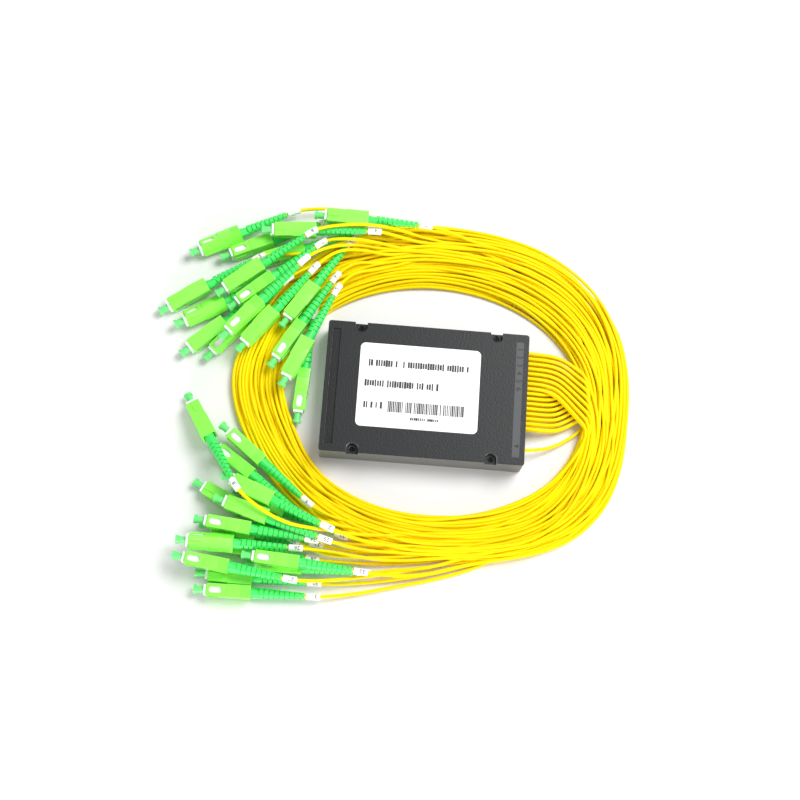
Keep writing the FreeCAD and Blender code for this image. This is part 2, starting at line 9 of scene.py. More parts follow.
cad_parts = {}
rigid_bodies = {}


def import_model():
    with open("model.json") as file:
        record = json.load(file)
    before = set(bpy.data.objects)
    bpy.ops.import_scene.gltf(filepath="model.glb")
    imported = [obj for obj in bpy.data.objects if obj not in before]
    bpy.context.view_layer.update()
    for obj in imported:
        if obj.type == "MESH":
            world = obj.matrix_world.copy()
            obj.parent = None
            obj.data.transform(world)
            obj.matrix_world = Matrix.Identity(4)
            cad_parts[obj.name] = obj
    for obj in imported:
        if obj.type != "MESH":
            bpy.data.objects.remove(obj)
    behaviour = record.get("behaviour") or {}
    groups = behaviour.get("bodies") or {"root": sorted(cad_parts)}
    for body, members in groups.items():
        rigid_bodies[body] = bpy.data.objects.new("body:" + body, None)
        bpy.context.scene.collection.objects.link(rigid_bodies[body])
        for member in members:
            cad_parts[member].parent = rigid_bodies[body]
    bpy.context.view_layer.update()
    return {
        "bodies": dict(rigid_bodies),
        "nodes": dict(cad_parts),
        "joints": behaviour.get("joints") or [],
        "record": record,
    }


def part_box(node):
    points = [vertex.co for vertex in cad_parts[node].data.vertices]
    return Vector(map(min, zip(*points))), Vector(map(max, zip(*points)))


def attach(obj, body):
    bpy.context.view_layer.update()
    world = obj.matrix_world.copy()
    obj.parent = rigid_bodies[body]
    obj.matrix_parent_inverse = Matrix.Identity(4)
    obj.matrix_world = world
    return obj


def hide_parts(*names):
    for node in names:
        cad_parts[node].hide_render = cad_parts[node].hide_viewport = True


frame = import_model()
print("frame loaded")

mm = 0.001


# Camera

cameraSet = {
    "target": (-0.014165, -0.001116, 0.0),
    "distance": 0.81328,
    "azimuth": -5.703,
    "elevation": 74.048,
    "roll": 9.906,
    "lens": 60.99,
    "sensor": 36.0,
}


def addCamera():
    azimuth, elevation, roll = (math.radians(cameraSet[k]) for k in ("azimuth", "elevation", "roll"))
    back = Vector(
        (
            math.sin(azimuth) * math.cos(elevation),
            -math.cos(azimuth) * math.cos(elevation),
            math.sin(elevation),
        )
    )
    right = Vector((math.cos(azimuth), math.sin(azimuth), 0.0))
    up = back.cross(right)
    turned = Matrix(
        (
            right * math.cos(roll) + up * math.sin(roll),
            up * math.cos(roll) - right * math.sin(roll),
            back,
        )
    ).transposed()
    data = bpy.data.cameras.new("camera")
    data.lens = cameraSet["lens"]
    data.sensor_width = cameraSet["sensor"]
    data.clip_start = 0.01
    data.clip_end = 20.0
    camera = bpy.data.objects.new("camera", data)
    place = Vector(cameraSet["target"]) + back * cameraSet["distance"]
    camera.matrix_world = Matrix.Translation(place) @ turned.to_4x4()
    bpy.context.collection.objects.link(camera)
    bpy.context.scene.camera = camera


addCamera()
print("camera placed")


# Where each connector lies
# In millimetres and degrees: middle of the grip's front face, (heading, rise, roll),
# then the lead's points from its boot to the ring.

upperPlugs = [
    ((-141.5, 83.0, 6.2), (28, 1, 55), [(-62, 117, 6), (-38, 112.8, 5), (-16, 108.5, 4.4)]),
    ((-122.5, 81.5, 5.4), (25, 1, 85), [(-46, 110, 5.6), (-28, 108.4, 4.4)]),
    ((-103.0, 79.5, 5.0), (21, 3, 0), [(-26, 105.5, 4.8)]),
    ((-98.0, 95.5, 15.2), (4, 0, 8), [(-20, 99.5, 9.5), (-4, 98, 5.5)]),
    ((-156.5, 45.5, 4.4), (33, 7, 0), [(-87, 81.5, 12.2), (-72, 84.5, 11.2), (-56, 94, 9), (-38, 96, 5.2)]),
    ((-146.0, 37.0, 6.2), (31, 1, 50), [(-74, 79, 5)]),
    ((-115.0, 48.5, 14.0), (41, 3, 90), [(-50, 94, 15.5), (-32, 94.5, 10), (-16, 93, 5.6)]),
    ((-123.0, 56.5, 14.2), (38, 6, 0), [(-57, 101, 19), (-39, 102.3, 20), (-22, 103.5, 12), (-6, 102, 5.5)]),
    ((-141.5, 20.5, 4.2), (42, 2, 0), [(-79, 71.5, 4.4)]),
    ((-127.5, 19.5, 5.2), (48, 10, 90), [(-73, 75.5, 12), (-61, 83.5, 6.5)]),
    ((-118.0, 28.5, 19.2), (49, 4, 90), [(-63, 87, 18), (-46, 92, 11), (-30, 92, 6.5)]),
    ((-108.5, 24.0, 12.8), (53, 3, 0), [(-59, 85.5, 15.5), (-43, 89, 11.5), (-28, 88, 6)]),
    ((-84.6, 42.2, 10.6), (57, 0, 0), [(-36, 99.5, 7), (-22, 98, 4.8)]),
    ((-89.2, 16.5, 11.5), (60, 0, 90), [(-47, 82, 8), (-32, 83, 5)]),
    ((-82.0, 4.6, 14.6), (66, 0, 0), [(-47, 75, 9.5), (-33, 78.5, 5.2)]),
    ((-74.0, -14.0, 5.0), (86, 2, 90), [(-65, 62, 7), (-54, 70, 4.6)]),
    ((-67.0, 108.0, 13.6), (-1, 0, 0), [(12, 105, 9), (28, 101, 5)]),
]
lowerPlugs = [
    ((-136.5, -15.0, 5.4), (-58, 16, 0),
     [(-91, -77, 22), (-75, -84.5, 20), (-57, -86, 17.5), (-40, -86.5, 13.5), (-23, -85.5, 7.5),
      (-8, -84, 5)]),
    ((-112.0, -32.0, 10.8), (-38, 0, 90), [(-48, -77, 6.5), (-34, -78.5, 4.6)]),
    ((-117.4, -41.0, 5.0), (-36, 8, 90), [(-50, -80.5, 9.5), (-36, -82, 5)]),
    ((-107.0, -61.0, 15.6), (-23, 4, 0), [(-33, -90, 15), (-18, -91, 9), (-3, -90, 5.5)]),
    ((-100.0, -66.2, 4.0), (-20, 3, 0), [(-25, -88.5, 5)]),
    ((-124.0, -64.5, 4.2), (-27, 5, 0), [(-52, -99, 7.5), (-34, -99, 6), (-14, -97.5, 4.5)]),
    ((-120.0, -85.4, 13.2), (-6, 0, 90), [(-40, -92, 9.5), (-25, -91.5, 5.2)]),
    ((-110.0, -73.6, 14.0), (-17, 2, 0), [(-32, -95, 10.5), (-16, -94.5, 5.2)]),
    ((-129.0, -97.3, 14.0), (0, 0, 30), [(-48, -97.5, 11.5), (-30, -99, 8.5), (-12, -99.5, 6), (6, -97, 5)]),
    ((-130.0, -107.1, 12.8), (-8, 3, 90),
     [(-50, -114.5, 12), (-30, -110.5, 8), (-9, -105.5, 5.8), (12, -100.8, 5), (28, -94.5, 4)]),
    ((-119.0, -95.7, 4.0), (-5.5, 1, 0), [(-36, -102, 4), (-16, -101, 3), (4, -98.5, 2.6), (22, -94.5, 2.5)]),
    ((-89.3, -107.0, 4.7), (0, 0, 90), [(-12, -104.5, 4.5), (6, -101.5, 2.5), (24, -97, 2)]),
    ((-117.0, -114.3, 4.0), (-1, 0, 0),
     [(-32, -113.5, 2.5), (-10, -109.5, 1.4), (12, -104.5, 1.3), (34, -97, 1.5)]),
    ((-117.0, -123.5, 4.9), (0.5, 0, 90),
     [(-32, -119.5, 2.6), (-10, -113.5, 1.3), (13, -107.5, 1.2), (36, -99.5, 1.2), (54, -88, 1.4)]),
    ((-91.0, -103.8, 14.0), (-4, 0, 90), [(-9, -108.5, 8.5), (11, -104.8, 4.2), (30, -98, 4)]),
    ((-117.5, -86.4, 4.0), (-6, 0, 0), [(-35, -95.5, 3.6), (-17, -95.2, 2.2)]),
]
plugs = upperPlugs + lowerPlugs


def plugFrame(plug):
    # Local X runs from the grip's front face to the cable.
    place, (heading, rise, roll), _ = plug
    turn = Matrix.Rotation(math.radians(heading), 4, "Z")
    tip = Matrix.Rotation(math.radians(-rise), 4, "Y")
    spin = Matrix.Rotation(math.radians(roll), 4, "X")
    return Matrix.Translation(Vector(place) * mm) @ turn @ tip @ spin


# Leads

leadSet = {
    "radius": 1.0,
    "length": 0.92,
    "columns": 16,
    "pitch": 3.1,
    "firstY": 30.9,
    "rows": (6.5, 10.5),
    "combInner": 56.0,
    "combOuter": 59.7,
    "straightEnd": 64.0,
    "bendX": 76.0,
    "bendLead": 4.5,
    "bendStep": 0.6,
    "sweep": 45.0,
    "sweepStep": 1.5,
    "overRows": (7.2, 9.7),
    "underRows": (2.1, 4.5),
    "ringBite": 4.0,
    "inputRoute": [(56.0, -28.6, 8.5), (64.0, -28.6, 8.5), (80.0, -24.0, 3.2), (97.0, -11.0, 1.8)],
    "bootEnd": 56.0,
    "bootLead": 9.0,
    "crimpEnd": 33.0,
}
ringSet = {
    "outer": ((5.5, 8.0), (118.0, 104.5)),
    "inner": ((4.5, 0.0), (92.5, 71.0)),
    "fullness": (2.5, 3.0),
    "innerSpread": (7.0, -160.0, 24.0),
    "outerSpread": (4.5, -176.0, 13.0),
    "stray": (14, 8.5, -163.0, 15.0),
    "sway": (0.6, 2.6),
    "swayShares": (1.0, 0.7, 0.45),
    "waves": (0.9, 1.9, 3.1),
    "laneDrift": 0.08,
    "levels": (3.0, 5.2),
    "levelAt": (0, 0.12, 0.8, 1),
    "levelDrift": 1.2,
    "tailReach": 3.0,
    "sink": 0.03,
    "pushMost": 0.6,
    "stations": 30,
    "gap": 2.12,
    "floor": 1.02,
    "edge": 1.1,
    "heightLeft": 5.5,
    "heightRight": 10.4,
    "usualRadius": 96.0,
    "rounds": 260,
    "seed": 11,
}


def bump(angle, top, middle, half):
    # A smooth rise of this height at one angle, in degrees, fading out to either side.
    away = (np.degrees(angle) - middle + 180) % 360 - 180
    return top * np.exp(-((away / half) ** 2))


def ringRay(angle):
    # Inner and outer edge of the ring at this angle; its right side is fuller than an ellipse.
    (innerMid, innerHalf), (outerMid, outerHalf) = ringSet["inner"], ringSet["outer"]
    c, s = np.cos(angle), np.sin(angle)
    power = np.where(c > 0, np.where(s > 0, *ringSet["fullness"]), 2.0)
    reach = (np.abs(c) ** power + np.abs(s) ** power) ** (-1 / power)
    wide = 1 + bump(angle, *ringSet["outerSpread"]) / outerHalf[0]
    slim = 1 - bump(angle, *ringSet["innerSpread"]) / innerHalf[0]
    inner = np.stack([innerMid[0] + innerHalf[0] * c * slim, innerMid[1] + innerHalf[1] * s * slim], -1)
    reach = reach * wide
    outer = np.stack([outerMid[0] + outerHalf[0] * c * reach, outerMid[1] + outerHalf[1] * s * reach], -1)
    return inner, outer


def ringPlace(x, y):
    # A point's angle round the ring, its distance outwards from the inner edge, and the ring's width there.
    angles = np.linspace(-math.pi, math.pi, 2881)
    inner, outer = ringRay(angles)
    along = outer - inner
    width = np.linalg.norm(along, axis=1)
    along = along / width[:, None]
    toPoint = np.array([x, y]) - inner
    aside = toPoint[:, 0] * along[:, 1] - toPoint[:, 1] * along[:, 0]
    outwards = (toPoint * along).sum(1)
    aside[outwards < -20] = 1e9
    best = int(np.argmin(np.abs(aside)))
    return angles[best], outwards[best], width[best]


def exitRoute(column, row):
    # Level at the bend and on to just inside the ring's inner edge.
    half = leadSet["columns"] // 2
    y = leadSet["firstY"] - leadSet["pitch"] * column
    over = column < half
    steps = half - 1 - column if over else column - half
    bendX = leadSet["bendX"] + leadSet["bendStep"] * steps
    side = -1 if over else 1
    angle = side * math.radians(leadSet["sweep"] - leadSet["sweepStep"] * steps)
    low = leadSet["overRows" if over else "underRows"][row]
    mid, halfSize = ringSet["inner"]
    reach = 0.0
    while math.hypot(
        (bendX + reach * math.cos(angle) - mid[0]) / halfSize[0],
        (y + reach * math.sin(angle) - mid[1]) / halfSize[1],
    ) < 1:
        reach += 0.5
    reach += leadSet["ringBite"]
    z = leadSet["rows"][row]
    end = (bendX + reach * math.cos(angle), y + reach * math.sin(angle), low - 0.6)
    early = bendX - leadSet["bendLead"]
    return [
        (leadSet["combInner"], y, z),
        (leadSet["straightEnd"], y, z),
        (early, y + side * 0.4, (z + low) / 2),
        (bendX + 3.0, y + side * 2.6, low),
        tuple(0.45 * a + 0.55 * b for a, b in zip((bendX + 3.0, y + side * 2.6, low), end)),
        end,
    ]


def tailRoute(plug):
    # From the ring into the boot, ending in the crimp.
    place = plugFrame(plug)
    boot = [
        tuple(place @ Vector((x * mm, 0, 0)) / mm)
        for x in (
            leadSet["bootEnd"] + leadSet["bootLead"],
            leadSet["bootEnd"],
            leadSet["bootEnd"] - leadSet["bootLead"],
            leadSet["crimpEnd"],
        )
    ]
    return plug[2][::-1] + boot


def ringTop(x):
    (midX, _), (halfX, _) = ringSet["outer"]
    share = (x - midX + halfX) / (2 * halfX)
    return ringSet["heightLeft"] + (ringSet["heightRight"] - ringSet["heightLeft"]) * share


def pairLeads():
    # The lead that comes into the ring first goes to the outermost connector, so that few have to cross.
    half = leadSet["columns"] // 2

    def outerFirst(group):
        def share(number):
            _, outwards, width = ringPlace(*plugs[number][2][-1][:2])
            return -outwards / width

        return sorted(group, key=share)

    upper = outerFirst(range(len(upperPlugs)))
    lower = outerFirst(range(len(upperPlugs), len(plugs)))
    routes = {upper[0]: (1, leadSet["inputRoute"])}
    for place, number in enumerate(upper[1:]):
        column = leadSet["columns"] - 1 - place // 2
        routes[number] = (1, exitRoute(column, place % 2))
    for place, number in enumerate(lower):
        routes[number] = (-1, exitRoute(place // 2, place % 2))
    return routes


def ringEnds(routes):
    # Where each lead comes into the ring and leaves it: the angle along its way, and the share of the width.
    ends = {}
    for number, (way, exitPoints) in routes.items():
        startAngle, startOut, startWidth = ringPlace(*exitPoints[-1][:2])
        endAngle, endOut, endWidth = ringPlace(*plugs[number][2][-1][:2])
        endAngle = way * endAngle % (2 * math.pi) + 2 * math.pi
        ends[number] = (way * startAngle, startOut / startWidth, endAngle, endOut / endWidth)
    return ends


def wayToGo(number, routes, ends):
    # Roughly the lead's length: both its ends, and its way round the ring at the usual radius.
    startAngle, _, endAngle, _ = ends[number]
    legs = sum(math.dist(a, b) for run in (routes[number][1], plugs[number][2]) for a, b in zip(run, run[1:]))
    return legs + ringSet["usualRadius"] * (endAngle - startAngle)


def leadDiscs(number, route, ends, rank, draw):
    # One disc for each station that the lead passes: station, distance outwards, height, held, spare room.
    way, exitPoints = route
    start, startShare, end, endShare = ends
    drift, levelDrift = ringSet["laneDrift"], ringSet["levelDrift"]
    lane = [
        (start, startShare),
        (start + 0.9, 0.05 + 0.85 * rank),
        (math.pi, 0.02 + 0.96 * rank + draw.uniform(-drift, drift)),
        (1.5 * math.pi, 0.02 + 0.96 * rank + draw.uniform(-drift, drift)),
        (2 * math.pi, 0.1 + 0.88 * rank),
        (end - 0.7, 0.1 + 0.4 * rank + 0.45 * endShare),
        (end, endShare),
    ]
    swing = draw.uniform(*ringSet["sway"], 3) * ringSet["swayShares"]
    phase = draw.uniform(0, 2 * math.pi, 3)
    waves = np.array(ringSet["waves"])
    usualLevel = ringSet["levels"][0 if way > 0 else 1]
    strayLead, *stray = ringSet["stray"]
    step = 2 * math.pi / ringSet["stations"]
    first = math.ceil(start / step + 0.55)
    last = math.floor(end / step - 0.6)
    discs = []
    for index in range(first, last + 1):
        angle = index * step
        inner, outer = ringRay(np.array(way * angle))
        width = float(np.linalg.norm(outer - inner))
        share = np.interp(angle, [at for at, _ in lane], [value for _, value in lane])
        wander = sum(swing * np.sin(angle * waves + phase))
        calmEnds = min(1.0, 0.4 * (index - first + 1), 0.4 * (last + 1 - index))
        late = (angle - start) / (end - start)
        level = usualLevel + draw.uniform(-levelDrift, levelDrift)
        heights = [exitPoints[-1][2], level, level, plugs[number][2][-1][2]]
        height = np.interp(late, ringSet["levelAt"], heights)
        spare = bump(np.array(way * angle), *stray) if number == strayLead else 0.0
        outwards = share * width + wander * calmEnds - spare
        discs.append((way * index % ringSet["stations"], outwards, height, False, spare))
    return discs


def tailDiscs(tail):
    # The tail's own points that still lie over the ring stay where they are.
    step = 2 * math.pi / ringSet["stations"]
    route = tail[::-1]
    places = [ringPlace(*point[:2]) for point in route]
    discs = []
    for (angleA, outA, widthA), (angleB, outB, widthB), a, b in zip(places, places[1:], route, route[1:]):
        low, high = sorted((angleA, angleB))
        if high - low > math.pi or min(outA - widthA, outB - widthB) > ringSet["tailReach"]:
            continue
        for index in range(math.ceil(low / step), math.floor(high / step) + 1):
            t = (index * step - angleA) / (angleB - angleA)
            outwards, height = outA + (outB - outA) * t, a[2] + (b[2] - a[2]) * t
            discs.append((index % ringSet["stations"], outwards, height, True, 0.0))
    return discs


def stationPairs(station):
    # Every two discs that share a station.
    one, two = [], []
    for index in range(ringSet["stations"]):
        here = np.flatnonzero(station == index)
        a, b = np.triu_indices(len(here), 1)
        one.append(here[a])
        two.append(here[b])
    return np.concatenate(one), np.concatenate(two)


def smoothAlong(moved, spans):
    smooth = moved.copy()
    for begin, end in spans.values():
        line = np.vstack([(0, 0), moved[begin:end], (0, 0)])
        smooth[begin:end] = 0.25 * line[:-2] + 0.5 * line[1:-1] + 0.25 * line[2:]
    return smooth


def settle(discs, spans):
    # The discs at a station push each other apart, while every lead stays smooth along its length.
    station, outwards, height, held, spare = (np.array(column) for column in zip(*discs))
    flat = np.stack([outwards, height], 1)
    aim = flat.copy()
    inner, outer = ringRay(station * (2 * math.pi / ringSet["stations"]))
    width = np.linalg.norm(outer - inner, axis=1)
    along = (outer - inner) / width[:, None]
    one, two = stationPairs(station)
    free = ~held
    weightOne = np.where(held[one], 0.0, np.where(held[two], 1.0, 0.5))
    weightTwo = np.where(held[two], 0.0, np.where(held[one], 1.0, 0.5))
    gap, floor, edge, most = (ringSet[key] for key in ("gap", "floor", "edge", "pushMost"))
    for turn in range(ringSet["rounds"]):
        # The push away from where a lead aims to lie is what gets smoothed along it.
        moved = flat - aim
        calm = 0.5 if turn < ringSet["rounds"] * 0.7 else 0.25
        flat = np.where(free[:, None], flat + calm * (smoothAlong(moved, spans) - moved), flat)
        flat[free, 1] -= ringSet["sink"]
        for _ in range(2):
            apart = flat[two] - flat[one]
            distance = np.maximum(np.linalg.norm(apart, axis=1), 1e-6)
            push = np.maximum(gap - distance, 0.0)
            close = push > 0
            shift = apart[close] / distance[close, None] * push[close, None]
            move = np.zeros_like(flat)
            np.add.at(move, one[close], -shift * weightOne[close, None])
            np.add.at(move, two[close], shift * weightTwo[close, None])
            flat += np.clip(move, -most, most)
            top = ringTop((inner + along * flat[:, :1])[:, 0]) - leadSet["radius"]
            flat[free, 1] = np.clip(flat[free, 1], floor, np.maximum(top, floor)[free])
            flat[free, 0] = np.clip(flat[free, 0], (edge - spare)[free], (width - edge)[free])
    distance = np.linalg.norm(flat[two] - flat[one], axis=1)
    touch = np.maximum(2 * leadSet["radius"] - distance, 0)
    print("leads laid, deepest touch", round(float(touch.max()), 2), "mean", round(float(touch.mean()), 4))
    return inner + along * flat[:, :1], flat[:, 1]


def layRing(routes):
    # Stations stand all round the ring, and each lead is a row of discs, one at each station it passes.
    ends = ringEnds(routes)
    draw = np.random.default_rng(ringSet["seed"])
    # A lead with less way to go lies further out in the ring, so that all come out near one length.
    order = sorted(routes, key=lambda number: -wayToGo(number, routes, ends))
    discs, spans = [], {}
    for number in sorted(routes):
        rank = (order.index(number) + 0.5) / len(order)
        begin = len(discs)
        discs += leadDiscs(number, routes[number], ends[number], rank, draw)
        spans[number] = (begin, len(discs))
        discs += tailDiscs(plugs[number][2])
    spread, height = settle(discs, spans)
    return {
        number: [(x, y, z) for (x, y), z in zip(spread[begin:end], height[begin:end])]
        for number, (begin, end) in spans.items()
    }


def addLead(number, points):
    data = bpy.data.curves.new("lead%02d" % (number + 1), "CURVE")
    data.dimensions = "3D"
    data.resolution_u = 4
    data.bevel_depth = leadSet["radius"] * mm
    data.bevel_resolution = 3
    data.use_fill_caps = True
    spline = data.splines.new("NURBS")
    spline.points.add(len(points) - 1)
    for knot, point in zip(spline.points, points):
        knot.co = (point[0] * mm, point[1] * mm, point[2] * mm, 1.0)
    spline.order_u = 3
    spline.use_endpoint_u = True
    lead = bpy.data.objects.new("lead%02d" % (number + 1), data)
    bpy.context.collection.objects.link(lead)
    return lead


routes = pairLeads()
ringPoints = layRing(routes)
leads = []
for number, plug in enumerate(plugs):
    way, exitPoints = routes[number]
    leads.append(addLead(number, list(exitPoints) + ringPoints[number] + tailRoute(plug)))
print("leads made:", len(leads))


# Materials


def newMaterial(name, colour, rough, **extra):
    made = bpy.data.materials.new(name)
    made.use_nodes = True
    shader = made.node_tree.nodes["Principled BSDF"]
    shader.inputs["Base Color"].default_value = (*colour, 1.0)
    shader.inputs["Roughness"].default_value = rough
    for socket, value in extra.items():
        shader.inputs[socket.replace("_", " ")].default_value = value
    return made


def grainGroup():
    # Fine surface grain: a slight colour change and a height for a bump.
    group = bpy.data.node_groups.new("surfaceGrain", "ShaderNodeTree")
    face = group.interface
    for name, kind, value in (("Scale", "NodeSocketFloat", 800.0), ("Strength", "NodeSocketFloat", 0.3)):
        face.new_socket(name, in_out="INPUT", socket_type=kind).default_value = value
    face.new_socket("Colour", in_out="INPUT", socket_type="NodeSocketColor")
    face.new_socket("Colour", in_out="OUTPUT", socket_type="NodeSocketColor")
    face.new_socket("Height", in_out="OUTPUT", socket_type="NodeSocketFloat")
    nodes, links = group.nodes, group.links
    entry, leave = nodes.new("NodeGroupInput"), nodes.new("NodeGroupOutput")
    where = nodes.new("ShaderNodeTexCoord")
    fine, broad = nodes.new("ShaderNodeTexNoise"), nodes.new("ShaderNodeTexNoise")
    fine.inputs["Detail"].default_value = 3.0
    broad.inputs["Scale"].default_value = 30.0
    for noise in (fine, broad):
        links.new(where.outputs["Object"], noise.inputs["Vector"])
    links.new(entry.outputs["Scale"], fine.inputs["Scale"])
    shade = nodes.new("ShaderNodeMath")
    shade.operation = "MULTIPLY_ADD"
    shade.inputs[1].default_value = 0.3
    shade.inputs[2].default_value = 0.85
    links.new(broad.outputs["Fac"], shade.inputs[0])
    mix = nodes.new("ShaderNodeMix")
    mix.data_type = "RGBA"
    mix.blend_type = "MULTIPLY"
    mix.inputs["Factor"].default_value = 1.0
    links.new(entry.outputs["Colour"], mix.inputs["A"])
    links.new(shade.outputs[0], mix.inputs["B"])
    links.new(mix.outputs["Result"], leave.inputs["Colour"])
    height = nodes.new("ShaderNodeMath")
    height.operation = "MULTIPLY"
    links.new(fine.outputs["Fac"], height.inputs[0])
    links.new(entry.outputs["Strength"], height.inputs[1])
    links.new(height.outputs[0], leave.inputs["Height"])
    return group


def addGrain(material, group, scale, strength, distance):
    tree = material.node_tree
    shader = tree.nodes["Principled BSDF"]
    node = tree.nodes.new("ShaderNodeGroup")
    node.node_tree = group
    node.inputs["Scale"].default_value = scale
    node.inputs["Strength"].default_value = strength
    node.inputs["Colour"].default_value = shader.inputs["Base Color"].default_value[:]
    dents = tree.nodes.new("ShaderNodeBump")
    dents.inputs["Distance"].default_value = distance
    dents.inputs["Strength"].default_value = 1.0
    tree.links.new(node.outputs["Height"], dents.inputs["Height"])
    tree.links.new(node.outputs["Colour"], shader.inputs["Base Color"])
    tree.links.new(dents.outputs["Normal"], shader.inputs["Normal"])
    return material


def slotGroup():
    # A mask for the floor of the empty slot in the lid's left end, from the place on the lid, marking where
    # painted shade goes.
    group = bpy.data.node_groups.new("paintedSlotShade", "ShaderNodeTree")
    group.interface.new_socket("Mask", in_out="OUTPUT", socket_type="NodeSocketFloat")
    nodes, links = group.nodes, group.links
    leave = nodes.new("NodeGroupOutput")
    where, part = nodes.new("ShaderNodeTexCoord"), nodes.new("ShaderNodeSeparateXYZ")
    links.new(where.outputs["Object"], part.inputs[0])
    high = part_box("top_cover")[1][2]
    mask = None
    for axis, operation, limit in (
        ("X", "GREATER_THAN", slotShadeSet["from"] * mm),
        ("X", "LESS_THAN", slotShadeSet["to"] * mm),
        ("Z", "LESS_THAN", high - slotShadeSet["drop"] * mm),
        ("Z", "GREATER_THAN", high - 2 * slotShadeSet["depth"] * mm),
    ):
        test = nodes.new("ShaderNodeMath")
        test.operation = operation
        test.inputs[1].default_value = limit
        links.new(part.outputs[axis], test.inputs[0])
        if mask is None:
            mask = test.outputs[0]
            continue
        both = nodes.new("ShaderNodeMath")
        both.operation = "MULTIPLY"
        links.new(mask, both.inputs[0])
        links.new(test.outputs[0], both.inputs[1])
        mask = both.outputs[0]
    links.new(mask, leave.inputs["Mask"])
    return group


def darkenSlot(material):
    # Painted shade: the slot's floor is given a darker colour than the lid round it, standing in for the
    # shade in the recess.
    tree = material.node_tree
    shader = tree.nodes["Principled BSDF"]
    mask = tree.nodes.new("ShaderNodeGroup")
    mask.node_tree = slotGroup()
    mix = tree.nodes.new("ShaderNodeMix")
    mix.data_type = "RGBA"
    mix.inputs["B"].default_value = (*slotShadeSet["colour"], 1.0)
    source = shader.inputs["Base Color"].links[0].from_socket
    tree.links.new(source, mix.inputs["A"])
    tree.links.new(mask.outputs["Mask"], mix.inputs["Factor"])
    tree.links.new(mix.outputs["Result"], shader.inputs["Base Color"])
    return material


def mouldedPlastic(name):
    # Fine-grained black plastic, which looks paler where it is seen edge-on.
    black = newMaterial(name, (0.006, 0.0072, 0.0082), 0.42, Specular_IOR_Level=0.29, Sheen_Weight=0.5)
    return addGrain(black, grain, 900.0, 1.0, 0.00012)


grain = grainGroup()
slotShadeSet = {
    "from": -57.3,
    "to": -52.1,
    "drop": 0.05,
    "depth": 1.0,
    # The colour of the painted shade on the slot's floor.
    "colour": (0.0015, 0.002, 0.003),
}
boxPlastic = mouldedPlastic("boxPlastic")
lidPlastic = darkenSlot(mouldedPlastic("lidPlastic"))
gripGreen = newMaterial("gripGreen", (0.28, 0.98, 0.09), 0.34, Coat_Weight=0.2)
bootGreen = newMaterial("bootGreen", (0.055, 0.8, 0.13), 0.45)
capGreen = newMaterial("capGreen", (0.2, 0.9, 0.26), 0.3, Alpha=0.85)
jacketYellow = newMaterial("jacketYellow", (1.0, 0.75, 0.0), 0.45, Specular_IOR_Level=0.12)
cleanWhite = newMaterial("cleanWhite", (0.93, 0.93, 0.92), 0.35)
sleeveWhite = newMaterial("sleeveWhite", (0.94, 0.94, 0.93), 0.5)
labelWhite = newMaterial("labelWhite", (0.92, 0.925, 0.93), 0.5)
printInk = newMaterial("printInk", (0.03, 0.03, 0.035), 0.6)
stripGrey = newMaterial("stripGrey", (0.068, 0.07, 0.073), 0.55)
stripInk = newMaterial("stripInk", (0.014, 0.014, 0.015), 0.6)
blackSteel = newMaterial("blackSteel", (0.004, 0.004, 0.004), 0.5, Specular_IOR_Level=0.2)
darkRubber = newMaterial("darkRubber", (0.02, 0.02, 0.021), 0.7)
brightSteel = newMaterial("brightSteel", (0.6, 0.6, 0.61), 0.3, Metallic=1.0)
clearCoat = newMaterial("clearCoat", (0.75, 0.76, 0.72), 0.25)
floorWhite = newMaterial("floorWhite", (0.84, 0.835, 0.83), 0.7)

nodeFinish = {
    "base_tray": boxPlastic,
    "top_cover": lidPlastic,
    "cover_screws": blackSteel,
    "face_label": labelWhite,
    "port_number_strip": stripGrey,
    "lead_comb": darkRubber,
    "package_pad": darkRubber,
    "package_boots": darkRubber,
    "fanout_block": darkRubber,
    "splitter_package": brightSteel,
    "output_ribbons": clearCoat,
    "output_fibres": cleanWhite,
    "input_fibre": cleanWhite,
    "inner_housings": cleanWhite,
    "ferrules": cleanWhite,
    "ferrule_springs": brightSteel,
    "crimp_sleeves": brightSteel,
    "ferrule_caps": capGreen,
}
for nodeName, finish in nodeFinish.items():
    mesh = frame["nodes"][nodeName].data
    mesh.materials.clear()
    mesh.materials.append(finish)
print("materials made")


# Mesh helpers


def addObject(name, mesh):
    made = bpy.data.objects.new(name, mesh)
    bpy.context.collection.objects.link(made)
    return made


def boxMesh(name, low, high):
    # A plain block between two corners, in the units given.
    (x0, y0, z0), (x1, y1, z1) = low, high
    corners = [(x, y, z) for x in (x0, x1) for y in (y0, y1) for z in (z0, z1)]
    sides = [(0, 1, 3, 2), (4, 6, 7, 5), (0, 4, 5, 1), (2, 3, 7, 6), (0, 2, 6, 4), (1, 5, 7, 3)]
    mesh = bpy.data.meshes.new(name)
    mesh.from_pydata(corners, [], sides)
    return mesh


def prismMesh(name, outline, low, high):
    # An outline in the X-Z plane, drawn out along Y.
    count = len(outline)
    points = [(x, y, z) for y in (low, high) for x, z in outline]
    sides = [tuple(range(count)), tuple(range(2 * count - 1, count - 1, -1))]
    sides += [(i, i + count, (i + 1) % count + count, (i + 1) % count) for i in range(count)]
    mesh = bpy.data.meshes.new(name)
    mesh.from_pydata(points, [], sides)
    return mesh


def carve(whole, cutters):
    # Cuts each block out of the piece and keeps the result as its mesh.
    for cutter in cutters:
        tool = addObject("cutter", cutter)
        step = whole.modifiers.new("carve", "BOOLEAN")
        step.operation = "DIFFERENCE"
        step.solver = "EXACT"
        step.object = tool
        keepResult(whole)
        bpy.data.objects.remove(tool)


def keepResult(whole):
    view = bpy.context.evaluated_depsgraph_get()
    view.update()
    made = bpy.data.meshes.new_from_object(whole.evaluated_get(view))
    whole.modifiers.clear()
    old = whole.data
    whole.data = made
    bpy.data.meshes.remove(old)


def smoothByAngle(mesh, degrees):
    mesh.polygons.foreach_set("use_smooth", [True] * len(mesh.polygons))
    mesh.set_sharp_from_angle(angle=math.radians(degrees))


